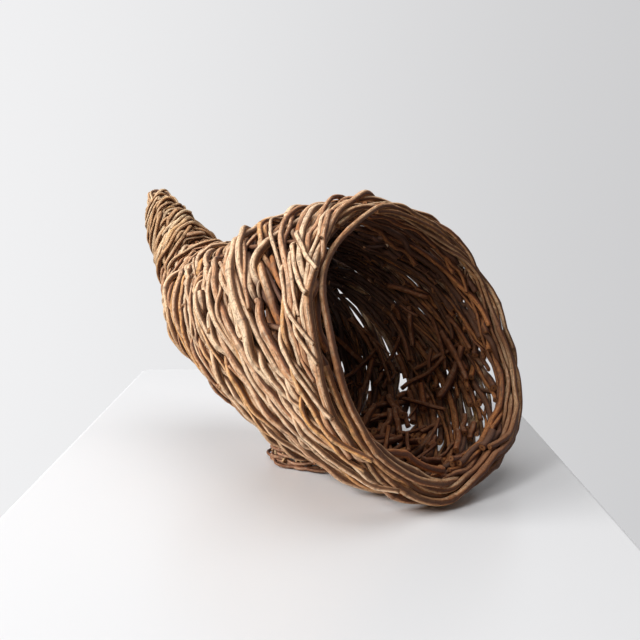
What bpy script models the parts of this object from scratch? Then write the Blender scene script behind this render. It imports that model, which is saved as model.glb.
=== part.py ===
"""A cornucopia basket: a horn woven from vines, lying on its rim and on a small foot ring.

The wall of the horn is a smooth surface with two parameters. The share runs along the horn's centre
line, from 0 at the mouth to 1 at the tip of the tail, and the angle runs round the section, from 0 at
the top towards +Y. Ribs follow the wall from the mouth to the tip. Weavers wind round it, over one
rib and under the next, and because the ribs are odd in number each turn crosses them the other way
round from the turn before. Short packing vines fill the underside where the turns fan out. Three
strands are twisted round the mouth, a binding closes the tail, and lashings hold the foot vines to the
two lowest ribs.

Lengths are in metres, and +Z is up. The horn is worked out from the centre of its mouth, with +X out
of the mouth, and then moved so that the origin lies below the middle of the basket, on the ground.
"""

import math

import bpy
import numpy as np

# The horn, measured at the middle of its wall
BODY_REACH = 0.4945
TAIL_RISE = 0.169
MOUTH_HALF_HEIGHT = 0.159
MOUTH_HALF_WIDTH = 0.154

# Ribs
RIB_COUNT = 9
RIB_RADIUS = 0.0032
RIB_TIP_RADIUS = 0.0022
RIB_TIP_GAP = 0.0009

# Weavers
WEAVER_RADIUS = 0.0046
WEAVER_TAIL_RADIUS = 0.0030
ROW_GAP = 0.0034
WEAVE_ROOM = 4
WEAVER_COUNT = 18
VINE_END_GAP = 0.004
MOUTH_PACKING_COUNT = 2
BEND_PACKING_COUNT = 4
PACKING_GAP = 0.0025

# Rim, a twist of strands
RIM_STRANDS = 3
RIM_TWISTS = 3
RIM_STRAND_RADIUS = 0.0060
RIM_STRAND_GAP = 0.0006

# Tail binding
BINDING_RADIUS = 0.0031
BINDING_GAP = 0.0009

# Foot ring
FOOT_RADIUS = 0.058
FOOT_VINE_RADIUS = 0.0040
LASHING_RADIUS = 0.0015
LASHING_GAP = 0.0007
LASHING_HUMP = 0.018
LASHING_SPREAD_SHARE = 0.4

# Clearance between any two vines that touch
TOUCH_GAP = 0.0003

# Along the horn, at equal steps of its centre line from the mouth to the tip
REACH_SHARES = (0, 0.143, 0.287, 0.430, 0.573, 0.714, 0.838, 0.920, 1)
RISE_SHARES = (0, 0.014, 0.024, 0.032, 0.053, 0.110, 0.310, 0.650, 1)
HEIGHT_SHARES = (1, 0.940, 0.850, 0.760, 0.582, 0.391, 0.234, 0.141, 0)
WIDTH_SHARES = (1, 0.959, 0.900, 0.807, 0.650, 0.459, 0.225, 0.116, 0)
LEAN_DEGREES = (23.6, 12.4, 6.1, 1.6, -2.4, -8.0, -33.0, -60.0, -66.0)

# Colours as red, green and blue, then roughness
RIB_FINISH = (0.30, 0.19, 0.11, 0.80)
WEAVER_FINISH = (0.45, 0.30, 0.19, 0.75)
RIM_FINISH = (0.52, 0.36, 0.23, 0.70)
BINDING_FINISH = (0.50, 0.33, 0.20, 0.75)
FOOT_FINISH = (0.38, 0.22, 0.13, 0.78)
LASHING_FINISH = (0.55, 0.36, 0.20, 0.70)

# Fineness of the model
SIDES = 6
SMALL_SHARE = 1e-4
TABLE_STEPS = 801
SECTION_ANGLES = 24
RIM_POINTS = 54
FOOT_POINTS = 60
LASHING_POINTS = 20
SETTLING_ROUNDS = 12

TURN = 2 * math.pi
RIB_STEP = TURN / RIB_COUNT


def clear_scene():
    for obj in list(bpy.data.objects):
        bpy.data.objects.remove(obj, do_unlink=True)


def bark(name, finish):
    """A plain bark material."""
    material = bpy.data.materials.new(name)
    material.use_nodes = True
    shader = material.node_tree.nodes["Principled BSDF"]
    shader.inputs["Base Color"].default_value = (*finish[:3], 1)
    shader.inputs["Roughness"].default_value = finish[3]
    shader.inputs["Metallic"].default_value = 0
    return material


def vine(name, points, radius, material, closed=False, upright=False):
    """A tube through the points, capped if it is open. An upright one keeps a flat side down."""
    curve = bpy.data.curves.new(name, "CURVE")
    curve.dimensions = "3D"
    curve.bevel_depth = 1
    curve.bevel_resolution = SIDES // 2 - 2
    curve.use_fill_caps = True
    curve.twist_mode = "Z_UP" if upright else "MINIMUM"
    spline = curve.splines.new("POLY")
    spline.points.add(len(points) - 1)
    spline.use_cyclic_u = closed
    spline.use_smooth = True
    spline.points.foreach_set("co", np.column_stack([points, np.ones(len(points))]).ravel())
    spline.points.foreach_set("radius", np.ones(len(points)) * radius)
    obj = bpy.data.objects.new(name, curve)
    obj.data.materials.append(material)
    bpy.context.scene.collection.objects.link(obj)
    return obj


def flat_side(radius):
    """Distance from the axis of a tube to its flat sides."""
    return radius * math.cos(math.pi / SIDES)


# The wall of the horn


def along(shares, t):
    """Reads a table at share t of the centre line: a smooth curve through its evenly spaced values."""
    a = np.array(shares, float)
    a = np.concatenate([[2 * a[0] - a[1]], a, [2 * a[-1] - a[-2]]])
    place = np.clip(t, 0, 1) * (len(shares) - 1)
    i = np.minimum(place.astype(int), len(shares) - 2)
    f = place - i
    p, q, r, s = a[i], a[i + 1], a[i + 2], a[i + 3]
    return q + f / 2 * (r - p + f * (2 * p - 5 * q + 4 * r - s + f * (3 * q - 3 * r + s - p)))


def tip_half_width():
    """The tip is as small as the ribs allow when they lie side by side in a ring."""
    return (RIB_TIP_RADIUS + RIB_TIP_GAP / 2) / math.sin(RIB_STEP / 2)


def on_wall(t, angle):
    """Points of the middle of the wall: oval sections on a bent centre line."""
    t, angle = np.broadcast_arrays(np.asarray(t, float), np.asarray(angle, float))
    tip = tip_half_width()
    half_height = tip + (MOUTH_HALF_HEIGHT - tip) * along(HEIGHT_SHARES, t)
    half_width = tip + (MOUTH_HALF_WIDTH - tip) * along(WIDTH_SHARES, t)
    lean = np.radians(along(LEAN_DEGREES, t))
    rise = half_height * np.cos(angle)
    x = -BODY_REACH * along(REACH_SHARES, t) - rise * np.sin(lean)
    z = TAIL_RISE * along(RISE_SHARES, t) + rise * np.cos(lean)
    return np.stack([x, half_width * np.sin(angle), z], axis=-1)


def unit(vectors):
    return vectors / np.linalg.norm(vectors, axis=-1, keepdims=True)


def directions(t, angle):
    """Unit vectors of the wall: outwards, and along the ribs towards the tail."""
    t = np.clip(t, SMALL_SHARE, 1 - SMALL_SHARE)
    back = on_wall(t + SMALL_SHARE, angle) - on_wall(t - SMALL_SHARE, angle)
    around = on_wall(t, angle + SMALL_SHARE) - on_wall(t, angle - SMALL_SHARE)
    return unit(np.cross(around, back)), unit(back)


def off_wall(t, angle, offset):
    """Points at a distance outside the middle of the wall, measured square to it."""
    out, _ = directions(t, angle)
    return on_wall(t, angle) + np.asarray(offset)[..., None] * out


def outside(t, angle, clear):
    """Points at a distance outside the crowns of the weavers."""
    return off_wall(t, angle, crown(t) + clear)


def steps(points):
    """Distances between neighbouring points along the first axis of an array."""
    return np.linalg.norm(np.diff(points, axis=0), axis=-1)


def rib_spacing(t):
    """Least distance between the axes of two neighbouring ribs, measured square to them."""
    angles = np.arange(RIB_COUNT) * RIB_STEP
    grid_t, grid_angle = np.meshgrid(t, angles, indexing="ij")
    _, back = directions(grid_t, grid_angle)
    apart = on_wall(grid_t, grid_angle + RIB_STEP) - on_wall(grid_t, grid_angle)
    return np.linalg.norm(np.cross(apart, back), axis=-1).min(axis=1)


def rib_radius(t):
    return RIB_RADIUS + (RIB_TIP_RADIUS - RIB_RADIUS) * t


def weaver_radius(t):
    return WEAVER_RADIUS + (WEAVER_TAIL_RADIUS - WEAVER_RADIUS) * t


def crossing(t):
    """Distance between the axes of a rib and a weaver where they cross."""
    return rib_radius(t) + weaver_radius(t) + TOUCH_GAP


def crown(t):
    """How far the outermost side of a weaver stands outside the middle of the wall."""
    return crossing(t) + weaver_radius(t)


def rows_before(pitch, depths):
    """Shares of the centre line, and how many rows lie before each of them.

    The rows are a pitch apart where the wall is tightest, taken at each of the depths.
    """
    t = np.linspace(0, 1, TABLE_STEPS)
    angles = np.linspace(0, TURN, SECTION_ANGLES, endpoint=False)
    grid_t, grid_angle = np.meshgrid(t, angles, indexing="ij")
    faces = [off_wall(grid_t, grid_angle, np.ones_like(grid_t) * depth(grid_t)) for depth in depths]
    tightest = np.min([steps(face).min(axis=1) for face in faces], axis=0)
    return t, np.concatenate([[0], np.cumsum(tightest / pitch(t[1:]))])


# The rim


def twist_radius():
    """Distance from the axis of the rim's twist to the axes of its strands."""
    return (RIM_STRAND_RADIUS + RIM_STRAND_GAP / 2) / math.sin(math.pi / RIM_STRANDS)


def rim_strand_path(number, points=RIM_POINTS):
    """A strand winds round the edge of the wall. At each rib the twist shows it a valley."""
    angle = np.linspace(0, TURN, points, endpoint=False)
    phase = RIM_TWISTS * angle + TURN * (number + 0.25) / RIM_STRANDS
    out, _ = directions(np.zeros(points), angle)
    edge = on_wall(0, angle)
    forward = unit(np.roll(edge, -1, axis=0) - np.roll(edge, 1, axis=0))
    inwards = np.cross(out, forward)
    sideways = np.cos(phase)[:, None] * out + np.sin(phase)[:, None] * inwards
    return edge + twist_radius() * sideways


def rib_start(angle):
    """Share at which a rib starts, seated in the rim: its end just clears every strand."""
    t = np.linspace(0, 1, TABLE_STEPS)[: TABLE_STEPS // 8]
    strands = np.concatenate([rim_strand_path(i, 8 * RIM_POINTS) for i in range(RIM_STRANDS)])
    out, back = directions(t, angle)
    side = np.cross(out, back)
    turns = np.linspace(0, TURN, SECTION_ANGLES, endpoint=False)
    spokes = np.cos(turns)[:, None] * out[:, None] + np.sin(turns)[:, None] * side[:, None]
    ends = on_wall(t, angle)[:, None] + RIB_RADIUS * spokes
    gaps = np.linalg.norm(ends[:, :, None] - strands, axis=-1).min(axis=(1, 2))
    return t[len(t) - np.argmax(gaps[::-1] < RIM_STRAND_RADIUS + TOUCH_GAP)]


def ground_level():
    """Height of the ground, on which the rim rests, seen from the mouth's centre."""
    lowest = min(rim_strand_path(i)[:, 2].min() for i in range(RIM_STRANDS))
    return lowest - RIM_STRAND_RADIUS


def add_rim(material):
    for i in range(RIM_STRANDS):
        vine(f"rim_strand_{i + 1}", rim_strand_path(i), RIM_STRAND_RADIUS, material, closed=True)


# The weave


def stand_off(middle, out, back, clear, side):
    """Moves a path off the middle of the wall at the ribs it meets, towards the side given there.

    The path is straight from one point to the next, so it stands off a little further than the
    crossing distance, for its slanting pieces to clear the rib as well.
    """
    depth = clear
    for _ in range(SETTLING_ROUNDS):
        points = middle + (side * depth)[:, None] * out
        piece = np.diff(points, axis=0)
        before, after = unit(np.cross(back[1:], piece)), unit(np.cross(back[:-1], piece))
        upright = np.ones(len(points))
        upright[1:] = np.abs((before * out[1:]).sum(-1))
        upright[:-1] = np.minimum(upright[:-1], np.abs((after * out[:-1]).sum(-1)))
        depth = clear / upright
    return points


def weave_rows():
    """Rows of weaving along the horn, and the rows at which it starts and ends.

    It starts clear of the rim, and ends where the ribs are too close for a weaver to bend between
    them.
    """
    t, rows = rows_before(
        lambda t: 2 * weaver_radius(t) + ROW_GAP, (crossing, lambda t: -crossing(t), lambda t: 0)
    )
    rim_edge = twist_radius() + RIM_STRAND_RADIUS + TOUCH_GAP
    first = (rim_edge + WEAVER_RADIUS) / (2 * WEAVER_RADIUS + ROW_GAP)
    crowded = rib_spacing(t) < WEAVE_ROOM * crossing(t)
    return t, rows, first, rows[np.argmax(crowded)]


def weave_share(count):
    """Share of the centre line at which the spiral has crossed a count of ribs."""
    t, rows, first, _ = weave_rows()
    return np.interp(first + np.asarray(count) / RIB_COUNT, rows, t)


def weave_crossings():
    """Number of ribs that the spiral crosses. It starts and ends inside the wall, so this is even."""
    _, _, first, last = weave_rows()
    return int((last - first) * RIB_COUNT) // 2 * 2


def weave_path():
    """The whole spiral, with a point at each rib and one halfway to the next."""
    count = np.arange(2 * weave_crossings() + 1) / 2
    share, angle = weave_share(count), count * RIB_STEP
    clear = np.where(count % 1 == 0, crossing(share), 0)
    side = np.where(count % 2 == 1, 1, -1)
    return count, share, stand_off(on_wall(share, angle), *directions(share, angle), clear, side)


def add_weavers(material):
    """Cuts the spiral into equal vines. Each ends behind a rib, just short of the start of the next."""
    count, share, points = weave_path()
    run = np.concatenate([[0], np.cumsum(steps(points))])
    behind = np.flatnonzero(count % 2 == 0)
    wanted = np.linspace(0, run[-1], WEAVER_COUNT + 1)
    ends = [behind[np.argmin(np.abs(run[behind] - w))] for w in wanted]
    for i, (a, b) in enumerate(zip(ends, ends[1:])):
        path = points[a : b + 1].copy()
        path[0] += unit(path[1] - path[0]) * VINE_END_GAP / 2
        path[-1] += unit(path[-2] - path[-1]) * VINE_END_GAP / 2
        vine(f"weaver_{i + 1:02}", path, weaver_radius(share[a : b + 1]), material)


def packing_room(count):
    """Largest radius of a vine that lies between two rows of the spiral and keeps clear of both.

    The count runs along the spiral from the first rib it crosses, half a turn behind the vine.
    """
    angle = count * RIB_STEP
    apart = on_wall(weave_share(count + RIB_COUNT), angle) - on_wall(weave_share(count), angle)
    return np.linalg.norm(apart, axis=-1) / 2 - weaver_radius(weave_share(count)) - PACKING_GAP


def packing_middles():
    """Counts of ribs along the spiral at which the rows fan out most: each takes a packing vine.

    The ones in the spiral's first half lie behind the leaning mouth, and the others round the bend
    to the tail.
    """
    count = np.arange(-RIB_COUNT, weave_crossings() - RIB_COUNT + 1)
    room = packing_room(count) / weaver_radius(weave_share(count))
    peaks = 1 + np.flatnonzero((room[1:-1] >= room[:-2]) & (room[1:-1] > room[2:]))
    widest = count[peaks[np.argsort(-room[peaks])]]
    ahead = widest < weave_crossings() / 2
    chosen = widest[ahead][:MOUTH_PACKING_COUNT], widest[~ahead][:BEND_PACKING_COUNT]
    return np.sort(np.concatenate(chosen))


def add_packing(material):
    """Packing vines lie halfway between two rows of the spiral, over one rib and behind two others.

    They are as thick as the weavers where the rows leave them the room.
    """
    over = np.array((-1, -0.5, 0, 0.5, 1))
    side = np.where(over == 0, 1, -1)
    for i, middle in enumerate(packing_middles()):
        count = middle + over
        share, angle = weave_share(count + RIB_COUNT / 2), count * RIB_STEP
        clear = np.where(over % 1 == 0, crossing(share), 0)
        path = stand_off(on_wall(share, angle), *directions(share, angle), clear, side)
        radius = np.minimum(weaver_radius(share), packing_room(count))
        vine(f"packing_vine_{i + 1}", path, radius, material)


# The ribs and the tail binding


def binding_path():
    """A coil outside the ribs, from the end of the weave to the tip, with a point over each rib."""
    reach = RIB_RADIUS + BINDING_RADIUS + TOUCH_GAP
    t, rows = rows_before(lambda t: 2 * BINDING_RADIUS + BINDING_GAP, (lambda t: reach,))
    start = weave_crossings() + 1
    first = np.interp(weave_share(start), t, rows)
    crossed = np.arange(int((rows[-1] - first) * RIB_COUNT) + 1)
    share, angle = np.interp(first + crossed / RIB_COUNT, rows, t), (start + crossed) * RIB_STEP
    clear = rib_radius(share) + BINDING_RADIUS + TOUCH_GAP
    return share, stand_off(on_wall(share, angle), *directions(share, angle), clear, 1)


def add_binding(material):
    _, points = binding_path()
    vine("tail_binding", points, BINDING_RADIUS, material)


def add_ribs(material):
    """A rib has a point at each weaver that it meets, and runs on under the binding to the tip."""
    rest = binding_path()[0][::RIB_COUNT]
    for i in range(RIB_COUNT):
        crossed = weave_share(np.arange(i, weave_crossings() + 1, RIB_COUNT))
        start = rib_start(i * RIB_STEP)
        share = np.concatenate([[start], crossed, rest[rest > crossed[-1]], [1]])
        vine(f"rib_{i + 1:02}", on_wall(share, i * RIB_STEP), rib_radius(share), material)


# The foot


def underside(x, y, clear):
    """Height of what lies a distance outside the weave, above places on the ground.

    Newton's rule finds the share and the angle at which it passes over each place.
    """
    t = -x / BODY_REACH
    angle = math.pi - y / MOUTH_HALF_WIDTH
    for _ in range(SETTLING_ROUNDS):
        here = outside(t, angle, clear)
        by_t = (outside(t + SMALL_SHARE, angle, clear) - here) / SMALL_SHARE
        by_angle = (outside(t, angle + SMALL_SHARE, clear) - here) / SMALL_SHARE
        miss_x, miss_y = x - here[..., 0], y - here[..., 1]
        size = by_t[..., 0] * by_angle[..., 1] - by_t[..., 1] * by_angle[..., 0]
        t = t + (miss_x * by_angle[..., 1] - miss_y * by_angle[..., 0]) / size
        angle = angle + (miss_y * by_t[..., 0] - miss_x * by_t[..., 1]) / size
    return outside(t, angle, clear)[..., 2]


def foot_centre():
    """The ring is pushed forward until its front just fits between the ground and the belly."""
    x = -np.linspace(0, BODY_REACH / 2, TABLE_STEPS)[1:]
    room = underside(x, np.zeros_like(x), TOUCH_GAP) - ground_level()
    return x[np.argmax(room > 2 * FOOT_VINE_RADIUS + TOUCH_GAP)] - FOOT_RADIUS


def foot_ring(turn, height=0):
    """Places round the ring, at a height above where it lies flat on the ground."""
    x, y = foot_centre() + FOOT_RADIUS * np.cos(turn), FOOT_RADIUS * np.sin(turn)
    z = ground_level() + flat_side(FOOT_VINE_RADIUS) + height
    return np.stack([x, y, z + 0 * x], axis=-1)


def lashing_spots():
    """Where each lashing goes: round one of the two lowest ribs, between two rows of the weave.

    Gives the angle of the rib, the share along it, and the angle round the ring.
    """
    t, rows, first, _ = weave_rows()
    spots = []
    for rib in (RIB_COUNT // 2, RIB_COUNT // 2 + 1):
        angle, start = rib * RIB_STEP, first + rib / RIB_COUNT
        for ahead in (1, -1):
            wanted = foot_centre() + ahead * LASHING_SPREAD_SHARE * FOOT_RADIUS
            nearest = np.argmin(np.abs(on_wall(t, angle)[:, 0] - wanted))
            share = np.interp(start + math.floor(rows[nearest] - start) + 0.5, rows, t)
            turn = np.linspace(0, math.pi, TABLE_STEPS) * math.copysign(1, math.sin(angle))
            _, back = directions(share, angle)
            off_plane = np.abs((foot_ring(turn) - on_wall(share, angle)) @ back)
            spots.append((angle, share, turn[np.argmin(off_plane)] % TURN))
    return spots


def hump(turn, spots):
    """The lowest foot vine lies on the ground, and rises over the lashings that pass below it."""
    away = [np.abs((turn - spot[2] + math.pi) % TURN - math.pi) * FOOT_RADIUS for spot in spots]
    ease = np.clip(2 - 2 * np.min(away, axis=0) / LASHING_HUMP, 0, 1)
    lift = FOOT_VINE_RADIUS - flat_side(FOOT_VINE_RADIUS) + LASHING_GAP + 2 * LASHING_RADIUS
    return lift * ease * ease * (3 - 2 * ease)


def belly_height(turn):
    """Height of the highest foot vine, pressed against the belly, above one flat on the ground."""
    ring = foot_ring(turn)
    return underside(ring[:, 0], ring[:, 1], TOUCH_GAP + FOOT_VINE_RADIUS) - ring[:, 2]


def foot_vines(spots):
    """The foot vines, as places round the ring: the lowest is closed, and the others lie on its back.

    Those start clear of the front lashings, where the belly leaves them room.
    """
    turn = np.linspace(0, TURN, FOOT_POINTS, endpoint=False)
    rise = hump(turn, spots)
    room = belly_height(turn) - rise
    front = max(abs(spot[2] - math.pi) for spot in spots)
    behind = np.abs(turn - math.pi) < front - LASHING_HUMP / FOOT_RADIUS
    paths = [foot_ring(turn, rise)]
    for level in (2, 1):
        held = behind & (room > (3 - level) * (2 * FOOT_VINE_RADIUS + TOUCH_GAP))
        paths.append(foot_ring(turn[held], (rise + room * level / 2)[held]))
    return paths


def hull_round(centres, wide, high, clear):
    """A closed path round ovals in a plane, at a distance from them, as a tight band would lie."""
    turn = np.linspace(0, TURN, LASHING_POINTS, endpoint=False)
    way = np.stack([np.cos(turn), np.sin(turn)], axis=-1)[:, None]
    oval = np.stack([wide, high], axis=-1)
    push = np.linalg.norm(way * oval, axis=-1, keepdims=True)
    edge = centres + way * oval**2 / push + way * clear
    return edge[np.arange(LASHING_POINTS), np.argmax((edge * way).sum(-1), axis=1)]


def lashing_path(spot, paths):
    """A band round a rib and the foot vines under it, in a plane square to the rib."""
    angle, share, _ = spot
    place, (_, back) = on_wall(share, angle), directions(share, angle)
    level = unit(np.cross(back, (0, 0, 1)))
    frame = np.stack([level, np.cross(level, back)])
    centres, wide = [np.zeros(2)], [float(rib_radius(share))]
    for path in paths:
        depth = (path - place) @ back
        beside = np.abs((path - place) @ level) < FOOT_RADIUS / 2
        cuts = np.flatnonzero((depth[:-1] * depth[1:] <= 0) & beside[:-1])
        for i in cuts:
            f = depth[i] / (depth[i] - depth[i + 1])
            centres.append(frame @ (path[i] + f * (path[i + 1] - path[i]) - place))
            wide.append(FOOT_VINE_RADIUS / abs(unit(path[i + 1] - path[i]) @ back))
    high = np.array([rib_radius(share)] + [FOOT_VINE_RADIUS] * (len(centres) - 1))
    band = hull_round(np.array(centres), np.array(wide), high, LASHING_RADIUS + LASHING_GAP)
    return place + band @ frame


def add_foot(foot, lashing):
    spots = lashing_spots()
    paths = foot_vines(spots)
    vine("foot_vine_lower", paths[0], FOOT_VINE_RADIUS, foot, closed=True, upright=True)
    vine("foot_vine_upper", paths[1], FOOT_VINE_RADIUS, foot)
    vine("foot_vine_middle", paths[2], FOOT_VINE_RADIUS, foot)
    for i, spot in enumerate(spots):
        vine(f"foot_lashing_{i + 1}", lashing_path(spot, paths), LASHING_RADIUS, lashing, closed=True)


def stand_on_ground():
    """Moves the basket so that the ground is at zero and the middle of its length at the origin."""
    basket = bpy.data.objects.new("basket", None)
    bpy.context.scene.collection.objects.link(basket)
    ends = []
    for obj in bpy.data.objects:
        if obj.type == "CURVE":
            obj.parent = basket
            ends += [p.co.x + side * p.radius for p in obj.data.splines[0].points for side in (-1, 1)]
    basket.location = (-(min(ends) + max(ends)) / 2, 0, -ground_level())


def main():
    clear_scene()
    add_rim(bark("rim_bark", RIM_FINISH))
    weaver = bark("weaver_bark", WEAVER_FINISH)
    add_weavers(weaver)
    add_packing(weaver)
    add_ribs(bark("rib_bark", RIB_FINISH))
    add_binding(bark("binding_bark", BINDING_FINISH))
    add_foot(bark("foot_bark", FOOT_FINISH), bark("lashing_bark", LASHING_FINISH))
    stand_on_ground()


main()
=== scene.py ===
import bpy
import numpy as np
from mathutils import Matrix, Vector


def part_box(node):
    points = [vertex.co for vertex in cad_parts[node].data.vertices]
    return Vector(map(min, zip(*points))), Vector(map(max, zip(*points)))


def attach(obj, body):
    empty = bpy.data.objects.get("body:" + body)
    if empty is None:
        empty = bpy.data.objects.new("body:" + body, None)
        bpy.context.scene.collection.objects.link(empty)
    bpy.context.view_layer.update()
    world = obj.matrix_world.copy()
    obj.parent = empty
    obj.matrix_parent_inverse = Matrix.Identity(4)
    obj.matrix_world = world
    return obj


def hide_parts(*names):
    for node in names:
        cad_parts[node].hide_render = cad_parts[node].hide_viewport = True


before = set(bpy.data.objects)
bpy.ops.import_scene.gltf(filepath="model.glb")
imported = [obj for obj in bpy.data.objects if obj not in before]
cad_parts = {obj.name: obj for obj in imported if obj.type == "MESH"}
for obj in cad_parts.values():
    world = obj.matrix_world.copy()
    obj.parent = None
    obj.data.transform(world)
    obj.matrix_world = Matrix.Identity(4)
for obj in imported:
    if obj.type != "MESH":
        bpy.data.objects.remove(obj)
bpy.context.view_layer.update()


# The ribs
# Nine stems of vine run from the rim to the tip of the tail and carry the weave. They lie in the
# wall of the horn: a share runs along its centre line, and an angle round its section from the top.
# The hand-made wall bulges in places, and the stems draw together at the tip.

MOUTH_PLACE = np.array((0.2173, 0, 0.1579))
BODY_REACH, TAIL_RISE = 0.4945, 0.169
MOUTH_HALF_HEIGHT, MOUTH_HALF_WIDTH, TIP_HALF_WIDTH = 0.159, 0.154, 0.0077
REACH_SHARES = (0, 0.143, 0.287, 0.430, 0.573, 0.714, 0.838, 0.920, 1)
RISE_SHARES = (0, 0.014, 0.024, 0.032, 0.053, 0.110, 0.310, 0.650, 1)
HEIGHT_SHARES = (1, 0.940, 0.850, 0.760, 0.582, 0.391, 0.234, 0.141, 0)
WIDTH_SHARES = (1, 0.959, 0.900, 0.807, 0.650, 0.459, 0.225, 0.116, 0)
LEAN_DEGREES = (23.6, 12.4, 6.1, 1.6, -2.4, -8.0, -33.0, -60.0, -66.0)
TOP_HALF_TURNS = (0.05, 0, -0.05, -0.04, -0.06, -0.12, -0.12, -0.05, 0.05, 0.18, 0.22, 0.21, 0.22)
TOP_BULGES = (0, 0, 2, -4, -1, -6, -17, 5, 8.5, 7, -2, -6, -5)
LOW_HALF_TURNS = (
    -0.87, -0.86, -0.83, -0.83, -0.81, -0.75, -0.72, -0.68, -0.65, -0.69, -0.72, -0.72, -0.70,
)
LOW_BULGES = (13, 12.5, 7, 8, -6, -4, -3, 1, -5.5, -12, -4, 3, -3)
MOUTH_BULGES = (0, 0, 2, 4, 1, -9, 2, -1, -4, -18, -15, -10, -8, -2, 0, 0, 0, 0, 0, 0)
BULGE_SPREAD, MOUTH_REACH, MILLIMETRE = 0.15, 0.08, 0.001
CLOSING_SHARE, TIP_CLOSING = 0.90, 0.0035
SMALL_SHARE = 1e-4
TURN = 2 * np.pi

RIB_COUNT = 9
RIB_RADIUS, RIB_TIP_RADIUS = 0.0032, 0.0022
RIB_START_SHARE = 0.035
RIB_THINNING_SHARE = 0.25
RIB_KNOT_PITCH = (0.06, 0.10)
RIB_BROWN, RIB_INSIDE = (0.3, 1), 0.6
RIB_POINTS = 150

STEM_SIDES = 10
KNOT_LENGTH = 0.0045
KNOT_SWELL = 0.2
RIDGES, RIDGE_TWIST = (0.07, 0.05), 25
GRAIN_START = 50


def along(shares, t):
    """Reads a table at share t of the centre line: a smooth curve through its evenly spaced values."""
    a = np.array(shares, float)
    a = np.concatenate([[2 * a[0] - a[1]], a, [2 * a[-1] - a[-2]]])
    place = np.clip(t, 0, 1) * (len(shares) - 1)
    i = np.minimum(place.astype(int), len(shares) - 2)
    f = place - i
    p, q, r, s = a[i], a[i + 1], a[i + 2], a[i + 3]
    return q + f / 2 * (r - p + f * (2 * p - 5 * q + 4 * r - s + f * (3 * q - 3 * r + s - p)))


def on_wall(t, angle):
    """Points of the middle of the wall: oval sections, leaning, on a bent centre line."""
    t, angle = np.broadcast_arrays(np.asarray(t, float), np.asarray(angle, float))
    half_height = TIP_HALF_WIDTH + (MOUTH_HALF_HEIGHT - TIP_HALF_WIDTH) * along(HEIGHT_SHARES, t)
    half_width = TIP_HALF_WIDTH + (MOUTH_HALF_WIDTH - TIP_HALF_WIDTH) * along(WIDTH_SHARES, t)
    lean = np.radians(along(LEAN_DEGREES, t))
    rise = half_height * np.cos(angle)
    x = -BODY_REACH * along(REACH_SHARES, t) - rise * np.sin(lean)
    z = TAIL_RISE * along(RISE_SHARES, t) + rise * np.cos(lean)
    return MOUTH_PLACE + np.stack([x, half_width * np.sin(angle), z], axis=-1)


def unit(vectors):
    return vectors / np.linalg.norm(vectors, axis=-1, keepdims=True)


def bulges(share, angle):
    """How far the hand-made wall lies outside the even one, over and under the horn and at its mouth.

    Over and under it is a table along the share times a bell curve of the angle from the place where
    the bulge is, and at the mouth a table round it that fades with the share.
    """
    from_top = 1 - np.cos(angle - np.pi * along(TOP_HALF_TURNS, share))
    from_low = 1 - np.cos(angle - np.pi * along(LOW_HALF_TURNS, share))
    mouth_angles = np.arange(len(MOUTH_BULGES)) / len(MOUTH_BULGES) * TURN
    mouth = np.interp(angle, mouth_angles, MOUTH_BULGES, period=TURN)
    over = along(TOP_BULGES, share) * np.exp(-from_top / BULGE_SPREAD)
    under = along(LOW_BULGES, share) * np.exp(-from_low / BULGE_SPREAD)
    return (over + under + mouth * np.exp(-share / MOUTH_REACH)) * MILLIMETRE


def closing(share):
    """How far the vines are drawn in towards the tip: the square of the share past where it begins."""
    return TIP_CLOSING * np.clip((share - CLOSING_SHARE) / (1 - CLOSING_SHARE), 0, 1) ** 2


def outwards(t, angle):
    """Unit vectors square to the wall: the cross product of its slopes in angle and in share."""
    t = np.clip(t, SMALL_SHARE, 1 - SMALL_SHARE)
    back = on_wall(t + SMALL_SHARE, angle) - on_wall(t - SMALL_SHARE, angle)
    around = on_wall(t, angle + SMALL_SHARE) - on_wall(t, angle - SMALL_SHARE)
    return unit(np.cross(around, back))


def run_along(path):
    """Length run at each point of paths, which are rows of points."""
    step = np.linalg.norm(np.diff(path, axis=1), axis=-1)
    return np.concatenate([np.zeros((len(path), 1)), np.cumsum(step, axis=1)], axis=1)


def knots_at(run, pitch, start):
    """How near the points are to a knot: a bell curve of the distance to the nearest of them."""
    away = (run + start[:, None]) / pitch[:, None]
    away = np.abs(away - np.round(away)) * pitch[:, None]
    return np.exp(-((away / KNOT_LENGTH) ** 2))


def placed(name, data):
    """An object of the scene with this name and data."""
    thing = bpy.data.objects.new(name, data)
    bpy.context.scene.collection.objects.link(thing)
    return thing


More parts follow.
